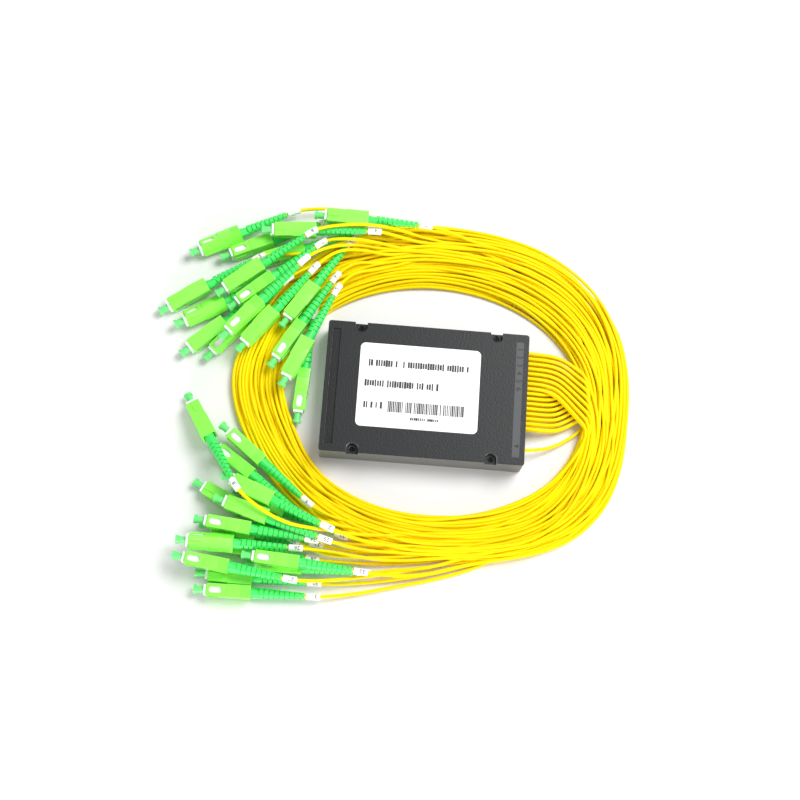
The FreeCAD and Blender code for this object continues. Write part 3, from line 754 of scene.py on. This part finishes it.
def numberShape(number, size, fineness, thick=0.0):
    # A plain number as points and faces, centred on its own origin.
    words = bpy.data.curves.new("digits", "FONT")
    words.body = str(number)
    words.size = size
    words.extrude = thick / 2
    words.align_x = "CENTER"
    words.align_y = "CENTER"
    words.resolution_u = fineness
    text = addObject("digits", words)
    view = bpy.context.evaluated_depsgraph_get()
    view.update()
    shape = bpy.data.meshes.new_from_object(text.evaluated_get(view))
    points = [tuple(vertex.co) for vertex in shape.vertices]
    faces = [tuple(face.vertices) for face in shape.polygons]
    bpy.data.objects.remove(text)
    bpy.data.meshes.remove(shape)
    return points, faces


class NodeTree:
    # A geometry tree with named inputs, and short calls for its nodes.
    def __init__(self, name, inputs):
        self.tree = bpy.data.node_groups.new(name, "GeometryNodeTree")
        face = self.tree.interface
        face.new_socket("Geometry", in_out="OUTPUT", socket_type="NodeSocketGeometry")
        self.sockets = {}
        for label, value in inputs.items():
            kind = "NodeSocketInt" if isinstance(value, int) else "NodeSocketFloat"
            socket = face.new_socket(label, in_out="INPUT", socket_type=kind)
            socket.default_value = value
            self.sockets[label] = socket.identifier
        self.entry = self.add("NodeGroupInput")
        self.leave = self.add("NodeGroupOutput")

    def add(self, kind, **links):
        node = self.tree.nodes.new(kind)
        for label, value in links.items():
            self.join(node.inputs[label.replace("_", " ")], value)
        return node

    def join(self, socket, value):
        if isinstance(value, bpy.types.NodeSocket):
            self.tree.links.new(value, socket)
        else:
            socket.default_value = value

    def given(self, label):
        return self.entry.outputs[label]

    def sum(self, operation, *values):
        node = self.tree.nodes.new("ShaderNodeMath")
        node.operation = operation
        for socket, value in zip(node.inputs, values):
            self.join(socket, value)
        return node.outputs[0]

    def finishWith(self, geometry, material):
        real = self.add("GeometryNodeRealizeInstances", Geometry=geometry)
        painted = self.add("GeometryNodeSetMaterial", Geometry=real.outputs[0])
        painted.inputs["Material"].default_value = material
        self.tree.links.new(painted.outputs[0], self.leave.inputs[0])

    def grow(self, name, **settings):
        # One plain mesh object from the tree with these inputs.
        made = addObject(name, bpy.data.meshes.new(name))
        step = made.modifiers.new("nodes", "NODES")
        step.node_group = self.tree
        for label, value in settings.items():
            step[self.sockets[label]] = value
        keepResult(made)
        return made


# Connector grips

gripSet = {
    "length": 25.5,
    "width": 9.0,
    "height": 7.4,
    "nose": 11.6,
    "noseInset": 0.32,
    "noseStep": 0.15,
    "chamfer": 0.7,
    "edge": 0.28,
    "bore": (6.9, 5.9),
    "rearBore": (6.7, 3.0),
    "window": (1.8, 9.2, 3.6),
    "windowPoint": 1.2,
    "windowEnds": (0.55, 0.3),
    "key": (0.9, 7.6, 1.6, 0.33),
    "keySink": 0.3,
    "ribs": (19.8, 24.6, 7),
    "ribDepth": 0.3,
    "ribShare": 0.4,
}


def gripBlock():
    # The outside, along X with the narrower nose first, from one four-cornered ring to the next.
    halfWidth, halfHeight = gripSet["width"] / 2, gripSet["height"] / 2
    nose, inset, chamfer = gripSet["nose"], gripSet["noseInset"], gripSet["chamfer"]
    stations = [
        (0.0, halfWidth - inset - chamfer, halfHeight - chamfer),
        (chamfer, halfWidth - inset, halfHeight - inset * 0.5),
        (nose, halfWidth - inset, halfHeight - inset * 0.5),
        (nose + gripSet["noseStep"], halfWidth, halfHeight),
        (gripSet["length"], halfWidth, halfHeight),
    ]
    points, sides = [], []
    for x, y, z in stations:
        points += [(x, -y, -z), (x, y, -z), (x, y, z), (x, -y, z)]
    for index in range(len(stations) - 1):
        base = index * 4
        for corner in range(4):
            after = (corner + 1) % 4
            sides.append((base + corner, base + 4 + corner, base + 4 + after, base + after))
    last = 4 * (len(stations) - 1)
    sides += [(0, 1, 2, 3), (last + 3, last + 2, last + 1, last)]
    mesh = bpy.data.meshes.new("grip")
    mesh.from_pydata(points, [], sides)
    grip = addObject("grip", mesh)
    soften = grip.modifiers.new("soften", "BEVEL")
    soften.width = gripSet["edge"]
    soften.segments = 2
    soften.limit_method = "ANGLE"
    soften.angle_limit = math.radians(50)
    keepResult(grip)
    return grip


def windowOutline():
    # A long window with slanted ends, the rear one more pointed.
    start, end, opening = gripSet["window"]
    point, high = gripSet["windowPoint"], opening / 2
    front, rear = (high * share for share in gripSet["windowEnds"])
    return [
        (start, -front),
        (start + point, -high),
        (end - point, -high),
        (end, -rear),
        (end, rear),
        (end - point, high),
        (start + point, high),
        (start, front),
    ]


def gripCutters():
    # The bore, the window through both narrow sides, the boot's seat and the finger ribs.
    halfWidth, halfHeight, length = gripSet["width"] / 2, gripSet["height"] / 2, gripSet["length"]
    boreY, boreZ = gripSet["bore"][0] / 2, gripSet["bore"][1] / 2
    seatWidth, seatDepth = gripSet["rearBore"]
    seatY, seatZ = seatWidth / 2, seatWidth / 2 * 0.9
    cutters = [
        boxMesh("bore", (-1, -boreY, -boreZ), (length + 1, boreY, boreZ)),
        prismMesh("window", windowOutline(), -halfWidth - 1, halfWidth + 1),
        boxMesh("rearBore", (length - seatDepth, -seatY, -seatZ), (length + 1, seatY, seatZ)),
    ]
    firstRib, lastRib, ribCount = gripSet["ribs"]
    pitch = (lastRib - firstRib) / (ribCount - 1)
    groove = pitch * gripSet["ribShare"]
    for index in range(ribCount):
        x = firstRib + pitch * index
        for side in (-1, 1):
            ends = sorted((side * (halfWidth - gripSet["ribDepth"]), side * (halfWidth + 1)))
            low, high = (x, ends[0], -halfHeight - 1), (x + groove, ends[1], halfHeight + 1)
            cutters.append(boxMesh("rib", low, high))
    return cutters


def addKey(grip):
    # The raised key on the wide face, sunk a little so that the two shapes join.
    start, end, width, height = gripSet["key"]
    face = gripSet["height"] / 2
    low, high = (start, -width / 2, face - gripSet["keySink"]), (end, width / 2, face + height)
    key = addObject("key", boxMesh("key", low, high))
    join = grip.modifiers.new("join", "BOOLEAN")
    join.operation = "UNION"
    join.solver = "EXACT"
    join.object = key
    keepResult(grip)
    bpy.data.objects.remove(key)


def makeGrip():
    grip = gripBlock()
    carve(grip, gripCutters())
    addKey(grip)
    smoothByAngle(grip.data, 35)
    grip.data.materials.clear()
    grip.data.materials.append(gripGreen)
    return grip


# Strain boots: a taper with slots cut into either half by turns

bootSet = {
    "start": 24.6,
    "end": 56.0,
    "frontRadius": 3.1,
    "tipRadius": 1.8,
    "slots": 18,
    "firstSlot": 5.2,
    "slotWidth": 0.5,
    "slotDepth": 1.0,
    "lip": 0.04,
    "vertices": 28,
}


def bootTree():
    made = NodeTree(
        "slottedBoot",
        {
            "Slots": 11,
            "Start": 0.0,
            "End": 1.0,
            "First Slot": 1.0,
            "Slot Width": 0.5,
            "Slot Depth": 0.5,
            "Front Radius": 1.0,
            "Tip Radius": 0.5,
        },
    )
    given, sum = made.given, made.sum
    steps = sum("MULTIPLY", given("Slots"), 4.0)
    body = made.add("GeometryNodeMeshCylinder", Vertices=bootSet["vertices"], Radius=1.0, Depth=1.0)
    made.tree.links.new(steps, body.inputs["Side Segments"])
    place = made.add("ShaderNodeSeparateXYZ", Vector=made.add("GeometryNodeInputPosition").outputs[0])
    count = sum("ROUND", sum("MULTIPLY", sum("ADD", place.outputs["Z"], 0.5), steps))
    slot = sum("FLOOR", sum("DIVIDE", count, 4.0))
    part = sum("SUBTRACT", count, sum("MULTIPLY", slot, 4.0))
    inSlot = sum("MULTIPLY", sum("GREATER_THAN", part, 0.5), sum("LESS_THAN", part, 2.5))
    length = sum("SUBTRACT", given("End"), given("Start"))
    pitch = sum("DIVIDE", sum("SUBTRACT", length, given("First Slot")), given("Slots"))
    along = sum("ADD", sum("MULTIPLY", pitch, slot), given("First Slot"))
    along = sum("ADD", along, sum("MULTIPLY", sum("GREATER_THAN", part, 1.5), given("Slot Width")))
    along = sum("ADD", along, sum("MULTIPLY", sum("MODULO", part, 2.0), bootSet["lip"]))
    along = sum("MULTIPLY", along, sum("GREATER_THAN", count, 0.5))
    tapered = sum("SUBTRACT", length, given("First Slot"))
    taper = sum("MAXIMUM", sum("DIVIDE", sum("SUBTRACT", along, given("First Slot")), tapered), 0.0)
    radius = sum("SUBTRACT", given("Tip Radius"), given("Front Radius"))
    radius = sum("ADD", sum("MULTIPLY", radius, taper), given("Front Radius"))
    turns = sum("SUBTRACT", 1.0, sum("MULTIPLY", sum("MODULO", slot, 2.0), 2.0))
    open = sum("GREATER_THAN", sum("MULTIPLY", place.outputs["X"], turns), 0.1)
    cut = sum("MULTIPLY", sum("MULTIPLY", inSlot, open), given("Slot Depth"))
    radius = sum("SUBTRACT", radius, cut)
    moved = made.add("ShaderNodeCombineXYZ")
    made.join(moved.inputs["X"], sum("ADD", along, given("Start")))
    made.join(moved.inputs["Y"], sum("MULTIPLY", place.outputs["X"], radius))
    made.join(moved.inputs["Z"], sum("MULTIPLY", place.outputs["Y"], radius))
    shaped = made.add("GeometryNodeSetPosition", Geometry=body.outputs["Mesh"], Position=moved.outputs[0])
    made.finishWith(shaped.outputs[0], bootGreen)
    return made


def makeBoot():
    size = bootSet
    boot = bootTree().grow(
        "boot",
        **{
            "Slots": size["slots"],
            "Start": size["start"],
            "End": size["end"],
            "First Slot": size["firstSlot"],
            "Slot Width": size["slotWidth"],
            "Slot Depth": size["slotDepth"],
            "Front Radius": size["frontRadius"],
            "Tip Radius": size["tipRadius"],
        },
    )
    smoothByAngle(boot.data, 40)
    return boot


def placeCopy(source, name, plug):
    mesh = source.data.copy()
    mesh.name = name
    mesh.transform(plugFrame(plug) @ Matrix.Scale(mm, 4))
    return addObject(name, mesh)


# Number sleeves, wrapped round each lead just behind its boot

sleeveSet = {
    "outer": 2.0,
    "inner": 1.03,
    "near": 24.0,
    "far": 32.0,
    "steps": 6,
    "sides": 14,
    "reach": 0.4,
    "digit": 3.4,
    "inkLift": 0.06,
}


def leadLine(lead):
    # The lead's own centreline, read from its spline, in millimetres from the far end.
    depth = lead.data.bevel_depth
    lead.data.bevel_depth = 0.0
    view = bpy.context.evaluated_depsgraph_get()
    view.update()
    mesh = bpy.data.meshes.new_from_object(lead.evaluated_get(view))
    points = np.array([v.co[:] for v in mesh.vertices])[::-1] / mm
    bpy.data.meshes.remove(mesh)
    lead.data.bevel_depth = depth
    return points


def linePoint(points, lengths, at):
    return Vector([float(np.interp(at, lengths, points[:, k])) for k in range(3)])


def sleeveFrames(lead):
    # Places along the lead with their own directions: ahead, to the side and up.
    points = leadLine(lead)
    lengths = np.concatenate([[0.0], np.cumsum(np.linalg.norm(np.diff(points, axis=0), axis=1))])
    reach = sleeveSet["reach"]
    frames = []
    for mark in np.linspace(sleeveSet["near"], sleeveSet["far"], sleeveSet["steps"]):
        here = linePoint(points, lengths, mark)
        ahead = linePoint(points, lengths, mark + reach) - linePoint(points, lengths, mark - reach)
        ahead.normalize()
        side = ahead.cross(Vector((0, 0, 1))).normalized()
        frames.append((here, ahead, side, side.cross(ahead)))
    return frames


def sleeveTube(frames):
    # Out along the outside and back along the bore.
    sides = sleeveSet["sides"]
    loops = [(frame, sleeveSet["outer"]) for frame in frames]
    loops += [(frame, sleeveSet["inner"]) for frame in frames[::-1]]
    verts, faces = [], []
    for (here, _, side, up), radius in loops:
        for index in range(sides):
            turn = 2 * math.pi * index / sides
            verts.append((here + side * (radius * math.cos(turn)) + up * (radius * math.sin(turn))) * mm)
    for ring in range(len(loops)):
        first, after = ring * sides, (ring + 1) % len(loops) * sides
        for index in range(sides):
            beside = (index + 1) % sides
            faces.append((first + index, first + beside, after + beside, after + index))
    return verts, faces


def makeSleeve(number, lead):
    frames = sleeveFrames(lead)
    verts, faces = sleeveTube(frames)
    inkFrom, base = len(faces), len(verts)
    # The number lies along the lead and bends round the sleeve.
    here, ahead, side, up = frames[len(frames) // 2]
    lift = sleeveSet["outer"] + sleeveSet["inkLift"]
    points, shapes = numberShape(number + 1, sleeveSet["digit"], 2)
    for along, across, _ in points:
        turn = across / lift
        onSleeve = side * (lift * math.sin(turn)) + up * (lift * math.cos(turn))
        verts.append((here - ahead * along + onSleeve) * mm)
    faces += [tuple(base + i for i in shape) for shape in shapes]
    name = "sleeve%02d" % (number + 1)
    mesh = bpy.data.meshes.new(name)
    mesh.from_pydata(verts, [], faces)
    mesh.materials.append(sleeveWhite)
    mesh.materials.append(printInk)
    for index, face in enumerate(mesh.polygons):
        face.material_index = int(index >= inkFrom)
        face.use_smooth = index < inkFrom
    mesh.set_sharp_from_angle(angle=math.radians(50))
    return addObject(name, mesh)


grip, boot = makeGrip(), makeBoot()
connectors = []
for number, plug in enumerate(plugs):
    connectors.append(
        {
            "grip": placeCopy(grip, "grip%02d" % (number + 1), plug),
            "boot": placeCopy(boot, "boot%02d" % (number + 1), plug),
            "sleeve": makeSleeve(number, leads[number]),
        }
    )
bpy.data.objects.remove(grip)
bpy.data.objects.remove(boot)
for lead in leads:
    lead.data.materials.append(jacketYellow)
print("connectors made:", len(connectors))


# Label print: rows of plain strokes and a block of bars

labelSet = {
    "thick": 0.05,
    "rows": [
        # x from, x to, y middle, height, strokes, seed
        (-35.6, 25.5, 15.4, 4.4, 42, 3),
        (-35.6, 8.2, 2.9, 4.4, 30, 5),
        (-35.4, -24.2, -10.4, 4.2, 8, 8),
        (-7.6, 9.2, -17.3, 1.8, 15, 12),
    ],
    "bars": (-21.3, 23.6, -10.7, 6.6, 44, 21),
}


def shownOutput(node):
    # A random-value node has one output for each kind of value, and only one of them is in use.
    return [socket for socket in node.outputs if socket.enabled][0]


def strokeTree():
    # A row of upright strokes; each one's width and height, and whether it is there, is drawn by the seed.
    made = NodeTree(
        "printStrokes",
        {
            "Count": 20,
            "Pitch": 1.0,
            "Height": 3.0,
            "Thinnest": 0.2,
            "Thickest": 0.6,
            "Shortest": 0.6,
            "Keep": 0.8,
            "Seed": 1,
        },
    )
    given = made.given
    step = made.add("ShaderNodeCombineXYZ", X=given("Pitch"))
    row = made.add("GeometryNodeMeshLine", Count=given("Count"), Offset=step.outputs[0])
    chance = made.tree.nodes.new("FunctionNodeRandomValue")
    chance.data_type = "BOOLEAN"
    made.join(chance.inputs["Probability"], given("Keep"))
    made.join(chance.inputs["Seed"], given("Seed"))
    widths = made.add("FunctionNodeRandomValue")
    tall = made.add("FunctionNodeRandomValue")
    for node, low, high, offset in ((widths, "Thinnest", "Thickest", 1), (tall, "Shortest", None, 2)):
        floats = [s for s in node.inputs if s.type == "VALUE" and s.name in ("Min", "Max") and s.enabled]
        made.join(floats[0], given(low))
        made.join(floats[1], given(high) if high else 1.0)
        made.join(node.inputs["Seed"], made.sum("ADD", given("Seed"), float(offset)))
    stroke = made.add("GeometryNodeMeshCube", Size=(1.0, 1.0, 1.0))
    scale = made.add("ShaderNodeCombineXYZ", Z=labelSet["thick"])
    made.join(scale.inputs["X"], made.sum("MULTIPLY", given("Pitch"), shownOutput(widths)))
    made.join(scale.inputs["Y"], made.sum("MULTIPLY", given("Height"), shownOutput(tall)))
    spread = made.add("GeometryNodeInstanceOnPoints", Points=row.outputs[0], Scale=scale.outputs[0])
    made.join(spread.inputs["Instance"], stroke.outputs[0])
    made.join(spread.inputs["Selection"], shownOutput(chance))
    made.finishWith(spread.outputs[0], printInk)
    return made


def printLabel():
    strokes = strokeTree()
    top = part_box("face_label")[1][2] / mm + labelSet["thick"] / 2
    parts = []
    rows = [(*row, 0.5, 0.96, 0.7, 0.88) for row in labelSet["rows"]]
    rows.append((*labelSet["bars"], 0.3, 0.95, 1.0, 0.9))
    for index, (low, high, y, height, count, seed, thin, thick, shortest, keep) in enumerate(rows):
        made = strokes.grow(
            "printRow%d" % index,
            **{
                "Count": count,
                "Pitch": (high - low) / count,
                "Height": height,
                "Thinnest": thin,
                "Thickest": thick,
                "Shortest": shortest,
                "Keep": keep,
                "Seed": seed,
            },
        )
        made.data.transform(Matrix.Scale(mm, 4) @ Matrix.Translation((low, y, top)))
        parts.append(made)
    return parts


# Digits and the input mark on the number strip

stripSet = {
    "digits": 6,
    "firstY": 30.6,
    "pitch": 4.9,
    "size": 4.6,
    "markY": -28.6,
    "markSize": (1.1, 2.6),
    "thick": 0.06,
}


def markStrip():
    low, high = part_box("port_number_strip")
    middle = (low[0] + high[0]) / 2 / mm
    top = high[2] / mm
    thick = stripSet["thick"]
    verts, faces = [], []
    for index in range(stripSet["digits"]):
        y = stripSet["firstY"] - stripSet["pitch"] * index
        base = len(verts)
        points, shapes = numberShape(index + 1, stripSet["size"], 3, thick)
        # The digits are turned to be read from the box's long side.
        verts += [((middle + v) * mm, (y - u) * mm, (top + lift + thick / 2) * mm) for u, v, lift in points]
        faces += [tuple(base + i for i in shape) for shape in shapes]
    # A plain wedge pointing into the box marks the input lead.
    half, long = stripSet["markSize"]
    y = stripSet["markY"]
    outline = [(middle - long / 2, y), (middle + long / 2, y - half), (middle + long / 2, y + half)]
    base = len(verts)
    verts += [(x * mm, across * mm, z * mm) for z in (top, top + thick) for x, across in outline]
    faces += [(base, base + 2, base + 1), (base + 3, base + 4, base + 5)]
    faces += [(base + i, base + (i + 1) % 3, base + 3 + (i + 1) % 3, base + 3 + i) for i in range(3)]
    mesh = bpy.data.meshes.new("stripMarks")
    mesh.from_pydata(verts, [], faces)
    mesh.materials.append(stripInk)
    return addObject("stripMarks", mesh)


prints = printLabel()
marks = markStrip()
print("label and strip printed")


# Floor and light

studioSet = {"floorHalf": 1.6, "floorDrop": 0.0002, "world": 0.52}


def addFloor():
    half, low = studioSet["floorHalf"], -studioSet["floorDrop"]
    corners = [(-half, -half, low), (half, -half, low), (half, half, low), (-half, half, low)]
    mesh = bpy.data.meshes.new("floor")
    mesh.from_pydata(corners, [], [(0, 1, 2, 3)])
    mesh.materials.append(floorWhite)
    return addObject("floor", mesh)


def addArea(name, place, target, size, power):
    data = bpy.data.lights.new(name, "AREA")
    data.shape = "DISK"
    data.size = size
    data.energy = power
    lamp = bpy.data.objects.new(name, data)
    lamp.location = place
    lamp.rotation_euler = (Vector(target) - Vector(place)).to_track_quat("-Z", "Y").to_euler()
    bpy.context.collection.objects.link(lamp)


floor = addFloor()
addArea("keyLight", (0.55, 0.45, 1.1), (0, 0, 0), 0.8, 16.0)
addArea("frontFill", (-0.1, -1.4, 0.3), (0, 0, 0.01), 0.8, 16.0)
world = bpy.data.worlds.new("studio")
bpy.context.scene.world = world
world.use_nodes = True
world.node_tree.nodes["Background"].inputs["Color"].default_value = (1.0, 1.0, 1.0, 1.0)
world.node_tree.nodes["Background"].inputs["Strength"].default_value = studioSet["world"]
bpy.context.scene.view_settings.view_transform = "Standard"
print("studio set")


# What each piece belongs to and stands for

for number, (lead, parts) in enumerate(zip(leads, connectors)):
    body = "grip_%02d" % (number + 1)
    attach(parts["grip"], body)
    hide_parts(body)
    fixed = (("boot", "strain_boots", "boot_green"), ("sleeve", "number_sleeves", "sleeve_white"))
    for part, node, slot in fixed:
        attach(parts[part], "box")
        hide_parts(node)
    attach(lead, "box")
    upperSide = number < len(upperPlugs)
    exitNode = "exit_leads_over"
    if upperSide:
        exitNode = "exit_lead_input" if routes[number][1] is leadSet["inputRoute"] else "exit_leads_under"
    tailNode = "tail_leads_upper" if upperSide else "tail_leads_lower"
    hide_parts(exitNode, tailNode, "fibre_coil", "jacket_ends")
for piece in prints:
    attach(piece, "box")
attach(marks, "box")
